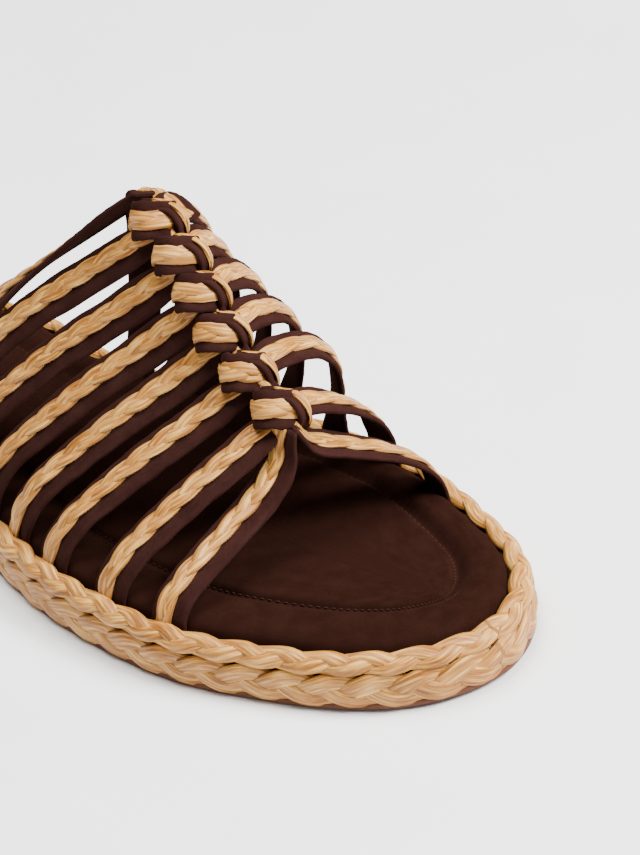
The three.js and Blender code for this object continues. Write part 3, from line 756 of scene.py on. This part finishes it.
def insole():
    """The padded insole: a rolled rim, a puckered groove with its stitches, and a padded panel."""
    rng = np.random.default_rng(5)
    edge = outline - outline_normal * (LIP_WIDTH + GAP)
    groove = smoothed(edge - outline_normal * rim_margin()[:, None], GROOVE_EASE)
    inwards = groove - edge
    margin = np.linalg.norm(inwards, axis=1, keepdims=True)
    stitches = int(PERIMETER / STITCH_PITCH)
    pulls = rng.uniform(0.5, 1.2, stitches)
    pulls[-1] = pulls[0]
    pull = np.interp(outline_run[:-1], np.linspace(0, PERIMETER, stitches), pulls)
    pucker = pull * np.cos(2 * math.pi * outline_run[:-1] * stitches / PERIMETER)
    wrinkle = slow_wave(rng, outline_run[:-1], PERIMETER, 60, True)

    def ring(plan, height):
        return np.column_stack([plan, height + toe_lift(plan[:, 1])])

    rings = []
    for share, rise in evenly(spline(INSOLE_ROLL), 22):
        height = insole_bottom + rise * INSOLE_THICKNESS
        rings.append(ring(edge + share * inwards, height + RIM_WRINKLE * wrinkle * max(share, 0)))
    for distance, drop in ROLL_SIDE:
        near = 1 - distance / ROLL_SIDE[0][0]
        plan = groove - inwards / margin * distance * MM
        height = insole_top - drop * MM + near * ROLL_PUCKER * pucker + ROLL_WRINKLE * wrinkle
        rings.append(ring(plan, height))
    tangent = unit(np.roll(groove, -2, 0) - np.roll(groove, 2, 0))
    side = np.column_stack([-tangent[:, 1], tangent[:, 0]])
    for distance, drop in PANEL_SIDE:
        plan = groove + side * (distance * MM + PANEL_PULL * pucker)[:, None]
        height = insole_top - drop * MM + PANEL_PUCKER * pucker * (1 - distance / 3)
        rings.append(ring(plan, height))
    rings += panel_rings(rings[-1], insole_top - PANEL_SIDE[-1][1] * MM, wrinkle)
    piece = ringed_object("insole_pad", rings, insole_satin, "insole")
    stitch_row(groove + side * STITCH_INSET, side, insole_top - STITCH_DROP, stitches)


def panel_rings(shoulder, height, wrinkle):
    """Rings from the panel's padded edge in to its middle line."""
    partner = (OUTLINE_STATIONS - np.arange(OUTLINE_STATIONS)) % OUTLINE_STATIONS
    middle = (shoulder + shoulder[partner]) / 2
    edge = shoulder[::4, :2]
    rings = []
    for share in PANEL_SHARES:
        plan = (shoulder + share * (middle - shoulder))[:, :2]
        depth = np.min(np.linalg.norm(plan[:, None] - edge[None], axis=2), axis=1)
        crown = PANEL_CROWN * smooth_step(depth / CROWN_REACH)
        crown = crown + PANEL_WRINKLE * wrinkle * (1 - share) ** 3
        rings.append(np.column_stack([plan, height + crown + toe_lift(plan[:, 1])]))
    return rings


def stitch_row(line, normals, height, count):
    """The stitches along the groove of the insole, each a short bent thread."""
    tubes = Tubes()
    length, sides, rows = STITCH_SHARE * STITCH_PITCH, 6, 5
    angle = np.linspace(0, 2 * math.pi, sides, endpoint=False)
    share = np.linspace(-1, 1, rows)
    fat = STITCH_RADIUS * np.sqrt(np.clip(1 - 0.93 * share**2, 0, 1))
    for k in range(count):
        run = PERIMETER * (k + 0.5) / count + share * length / 2
        plan = around(run, line)
        middle = np.column_stack([plan, height + toe_lift(plan[:, 1]) - STITCH_BEND * share**2])
        out = np.column_stack([around(run, normals), np.zeros(rows)])
        grid = (middle[:, None, :] + fat[:, None, None] * (
            np.cos(angle)[None, :, None] * out[:, None, :]
            + np.sin(angle)[None, :, None] * np.array([0, 0, 1.0])))
        uv = np.zeros((rows, sides, 2))
        uv[..., 0], uv[..., 1] = run[:, None], angle[None, :] * STITCH_RADIUS
        tubes.add(grid, uv)
    tubes.build("insole_stitches", stitch_thread, "insole", "insole")


# The upper

def knot_point(row):
    """The place of a knot from its row in KNOTS."""
    along, across, rise = row
    return np.array([across * BALL_WIDTH + shift_x, (along - 0.5) * SOLE_LENGTH,
                     rim_height + rise * INSTEP_RISE])


knots = [knot_point(row) for row in KNOTS]


def ridge_direction(index):
    """The way up the row of knots at one of them."""
    behind, ahead = knots[max(index - 1, 0)], knots[min(index + 1, len(knots) - 1)]
    return unit(behind - ahead)


def edge_at(along, side, inset):
    """The sole's edge on one side at a share of its length, and its direction."""
    y = (along - 0.5) * SOLE_LENGTH
    moved = outline - outline_normal * inset
    heel = int(np.argmax(outline[:, 1]))
    half = moved[:heel + 1] if side > 0 else moved[heel:][::-1]
    crossing = int(np.argmax(half[:, 1] >= y))
    a, b = half[crossing - 1], half[crossing]
    point = a + (b - a) * (y - a[1]) / (b[1] - a[1])
    return point, np.append(unit(b - a), 0)


def leg_shape(index, side):
    """The shape of a leg, and the bulge and flare that its sides are given."""
    _, _, _, bulge, _, flare = STRAPS[index]
    if index == len(STRAPS) - 1:
        return (FRONT_INNER_LEG, 0, flare - 1) if side > 0 else (FRONT_OUTER_LEG, bulge, 0)
    if side < 0:
        return (OUTER_LEG if index else REAR_OUTER_LEG), bulge, 0
    inner = {0: REAR_INNER_LEG, len(STRAPS) - 2: LOW_INNER_LEG}
    return inner.get(index, INNER_LEG), 0, flare - 1


def leg_ribbon(index, side):
    """The ribbon of one leg of a strap, from its knot down beside the insole."""
    knot, ahead, outer_end, _, inner_end, _ = STRAPS[index]
    lean = unit(ridge_direction(knot) + np.array([RIDGE_LEAN, 0, 0]))
    start = knots[knot] - lean * ahead * STRAP_WIDTH
    if index == 0 and side > 0:
        start = knots[1] + np.array(REAR_INNER_START)
    if index == len(STRAPS) - 1:
        start = start + np.array(FRONT_START)
    foot, direction = edge_at(inner_end if side > 0 else outer_end, side, LIP_WIDTH + STRAP_SINK)
    shape, bulge, flare = leg_shape(index, side)
    floor = rim_height + float(toe_lift(foot[1]))
    points = []
    for out, drift, rise in shape:
        middle = 4 * rise * (1 - rise)
        points.append((
            start[0] + (out + flare * middle) * (foot[0] - start[0]),
            start[1] + drift * (foot[1] - start[1]),
            floor + (rise + bulge * middle) * (start[2] - floor)))
    points.append((points[-1][0], points[-1][1], floor - STRAP_TUCK))
    outside = np.array([side, 0, LEG_LIFT] if index or side > 0 else REAR_OUTER_FACE)
    return ribbon_along(points, leg_width(index, side, direction), lambda curve: outside, count=140)


def leg_width(index, side, direction):
    """How the width of a leg turns from the ridge of the knots to the sole's edge."""
    ridge = ridge_direction(STRAPS[index][0])
    rear_across = np.array(REAR_INNER_ACROSS) if side > 0 else unit(np.array(REAR_OUTER_ACROSS))

    def width_at(share):
        turn = np.minimum(1, share / TWIST_END)[:, None]
        late = turn if side > 0 else smooth_step(share / REAR_TWIST_END)[:, None]
        if index == 0:
            return rear_across * (1 - late) + direction * late
        plain = ridge * (1 - turn) + direction * turn
        if side < 0 or index >= TURNED_LEGS:
            return plain
        twist = (smooth_step(share / TWIST_IN) * smooth_step((1 - share) / TWIST_OUT))[:, None]
        return plain * (1 - twist) + unit(np.array(INNER_LEG_TURN)) * twist

    return width_at


def strap_leg(index, side):
    """A satin band with its raffia plait, from the knots down into the sole."""
    name = f"strap_{index + 1}_{'inner' if side > 0 else 'outer'}"
    ribbon = leg_ribbon(index, side)
    seed = 100 + 2 * index + (side > 0)
    satin, plaited = Tubes(), Tubes()
    band(satin, ribbon, STRAP_WIDTH, seed, narrow_start=NARROW_START)
    strap_plait(plaited, ribbon, seed, offset=OUTER_PLAIT_OFFSET if side < 0 else 0)
    satin.build(name + "_band", strap_satin, "upper_straps", "satin")
    plaited.build(name + "_plait", raffia, "upper_straps", "raffia")


def strap_plait(tubes, ribbon, seed, width=PLAIT_WIDTH, offset=0.0, taper=0.0, drop=0.0):
    """Adds the plait that is sewn along a strap, sunk by drop into its band."""
    half = STRAND_HALF * width
    plait(tubes, ribbon, STRAP_LOBE, spread=0.5 * width - 0.9 * half, half_width=half,
          half_height=STRAND_DEPTH, lift=BAND_THICKNESS + 0.1 * MM - drop, weave=STRAND_WEAVE,
          hand=-1, seed=seed, sides=16, step=0.7 * MM, start=(seed % 7) * PLAIT_SHIFT,
          offset=offset, taper=taper)


class KnotFrame:
    """The axes of a knot: across it, up the instep, and out of it."""

    def __init__(self, index):
        self.across, self.up, self.out = (
            np.array(axis) for axis in facing_axes(KNOT_AZIMUTH, KNOT_ELEVATION, KNOT_ROLL))
        self.origin = knots[index] + sum(
            axis * shift for axis, shift in zip((self.across, self.up, self.out), KNOT_OFFSET))

    def point(self, row):
        x, y, z = (value * MM for value in row)
        return self.origin + self.across * x + self.up * y + self.out * z


def knot(index):
    """A knot: its bulk, the band that wraps it and the crescent over its inner end."""
    axes = KnotFrame(index)
    hub = axes.point(WRAP_HUB)
    wrap = ribbon_along([axes.point(row) for row in WRAP],
                        lambda share: np.repeat(axes.up[None], len(share), 0),
                        lambda curve: curve - hub, count=80)
    satin, plaited = Tubes(), Tubes()
    band(satin, wrap, WRAP_WIDTH, 200 + index, step=KNOT_STEP)
    strap_plait(plaited, wrap, 200 + index, offset=WRAP_OFFSET, drop=WRAP_PLAIT_DROP)
    satin.build(f"knot_{index}_wrap_band", strap_satin, "upper_straps", "satin")
    plaited.build(f"knot_{index}_wrap_plait", raffia, "upper_straps", "raffia")
    crescent = crescent_ribbon(axes)
    satin, plaited = Tubes(), Tubes()
    band(satin, crescent, CRESCENT_BAND, 300 + index, step=KNOT_STEP)
    strap_plait(plaited, crescent.part(*CRESCENT_PLAIT), 300 + index, CRESCENT_RAFFIA,
                CRESCENT_OFFSET, taper=0.8)
    satin.build(f"knot_{index}_crescent_band", strap_satin, "upper_straps", "satin")
    plaited.build(f"knot_{index}_crescent_plait", raffia, "upper_straps", "raffia")
    knot_bulk(index, axes)


def crescent_ribbon(axes):
    """The crescent's ribbon, its face turned outwards from the middle of its arc."""
    centre = axes.point(CRESCENT_CENTRE)
    turn = math.radians(CRESCENT_TURN)
    curve = evenly(spline([axes.point(row) for row in CRESCENT]), 80)
    tangent = unit(np.gradient(curve, axis=0))
    radial = curve - centre
    radial = radial - axes.out * (radial @ axes.out)[:, None]
    radial = unit(radial - tangent * np.sum(radial * tangent, axis=1, keepdims=True))
    across = unit(radial * math.cos(turn) - axes.out * math.sin(turn))
    out = unit(np.cross(across, tangent))
    facing = np.sum(out * (axes.out * math.cos(turn) + radial * math.sin(turn)), axis=1)
    out = out * np.where(facing < 0, -1, 1)[:, None]
    sideways = np.cross(tangent, out)
    sign = np.sign(np.sum(sideways * across, axis=1))[:, None]
    return Ribbon(curve, unit(sideways) * sign, out)


def knot_bulk(index, axes):
    """The turns of strap inside a knot, which show only between its bands."""
    rows, columns = 14, 24
    polar = np.linspace(0.05, math.pi - 0.05, rows)
    turn = np.linspace(0, 2 * math.pi, columns, endpoint=False)
    wide, tall, deep = KNOT_BULK
    across = np.outer(np.sin(polar), np.cos(turn)) * wide
    up = np.outer(np.sin(polar), np.sin(turn)) * tall
    out = np.outer(np.cos(polar), np.ones(columns)) * deep
    grid = (axes.point(BULK_CENTRE) + across[..., None] * axes.across + up[..., None] * axes.up
            + out[..., None] * axes.out)
    uv = np.stack(np.broadcast_arrays(polar[:, None] * 4 * MM, turn[None, :] * 6 * MM), axis=-1)
    tubes = Tubes()
    tubes.add(grid, uv)
    tubes.build(f"knot_{index}_bulk", strap_satin, "upper_straps", "satin")


def ridge_strap():
    """The narrow strap that runs down under the knots and shows between them."""
    axes = KnotFrame(1)
    points = [point - axes.out * RIDGE_SINK for point in knots[1:]]
    ribbon = ribbon_along(points, lambda share: np.repeat(axes.across[None], len(share), 0),
                          lambda curve: axes.out, count=120)
    satin, plaited = Tubes(), Tubes()
    band(satin, ribbon, RIDGE_WIDTH, 401)
    strap_plait(plaited, ribbon, 402, RIDGE_RAFFIA, drop=RIDGE_PLAIT_DROP)
    satin.build("ridge_strap_band", strap_satin, "upper_straps", "satin")
    plaited.build("ridge_strap_plait", raffia, "upper_straps", "raffia")


def upper():
    for index in range(len(STRAPS)):
        for side in (-1, 1):
            strap_leg(index, side)
    for index in range(1, len(knots)):
        knot(index)
    ridge_strap()


# Floor, lights and camera

FLOOR_REACH = 3.0
PAPER = ((0.90, 0.90, 0.90), (0.93, 0.93, 0.93))
LIGHT_AIM = (0, -0.03, 0.03)
WORLD_STRENGTH = 0.35


def floor():
    """A wide sheet of pale paper under the shoe."""
    mesh = bpy.data.meshes.new("floor")
    corners = [(x * FLOOR_REACH, y * FLOOR_REACH, 0) for x, y in ((-1, -1), (1, -1), (1, 1), (-1, 1))]
    mesh.from_pydata(corners, [], [(0, 1, 2, 3)])
    piece = bpy.data.objects.new("floor", mesh)
    bpy.context.scene.collection.objects.link(piece)
    material, nodes, links, shader = node_tree("pale_floor")
    place = nodes.new("ShaderNodeTexCoord").outputs["Object"]
    paper = noise(nodes, links, place, (30, 30, 30), 2, 0.5)
    colour = ramp(nodes, links, paper, list(zip((0.3, 0.7), PAPER)))
    links.new(colour, shader.inputs["Base Color"])
    shader.inputs["Roughness"].default_value = 0.9
    mesh.materials.append(material)


def area_light(name, place, size, watts):
    light = bpy.data.lights.new(name, "AREA")
    light.size = size
    light.energy = watts
    lamp = bpy.data.objects.new(name, light)
    lamp.location = place
    lamp.rotation_euler = (Vector(LIGHT_AIM) - Vector(place)).to_track_quat("-Z", "Y").to_euler()
    bpy.context.scene.collection.objects.link(lamp)


def lights():
    world = bpy.data.worlds.new("studio")
    world.use_nodes = True
    background = world.node_tree.nodes["Background"]
    background.inputs["Color"].default_value = (1, 1, 1, 1)
    background.inputs["Strength"].default_value = WORLD_STRENGTH
    bpy.context.scene.world = world
    area_light("key", (0.62, -0.95, 1.05), 0.6, 68)
    area_light("top", (0.0, 0.1, 1.4), 0.8, 34)


def camera():
    right, up, back = facing_axes(CAMERA_AZIMUTH, CAMERA_ELEVATION, CAMERA_ROLL)
    data = bpy.data.cameras.new("camera")
    data.lens = LENS
    data.sensor_fit = "AUTO"
    data.sensor_width = 36
    view = bpy.data.objects.new("camera", data)
    turn = Matrix((right, up, back)).transposed().to_4x4()
    view.matrix_world = Matrix.Translation(Vector(CAMERA_TARGET) + back * CAMERA_DISTANCE) @ turn
    bpy.context.scene.collection.objects.link(view)
    bpy.context.scene.camera = view


camera()
outsole()
rim_core()
rim_braids()
insole()
upper()
floor()
lights()
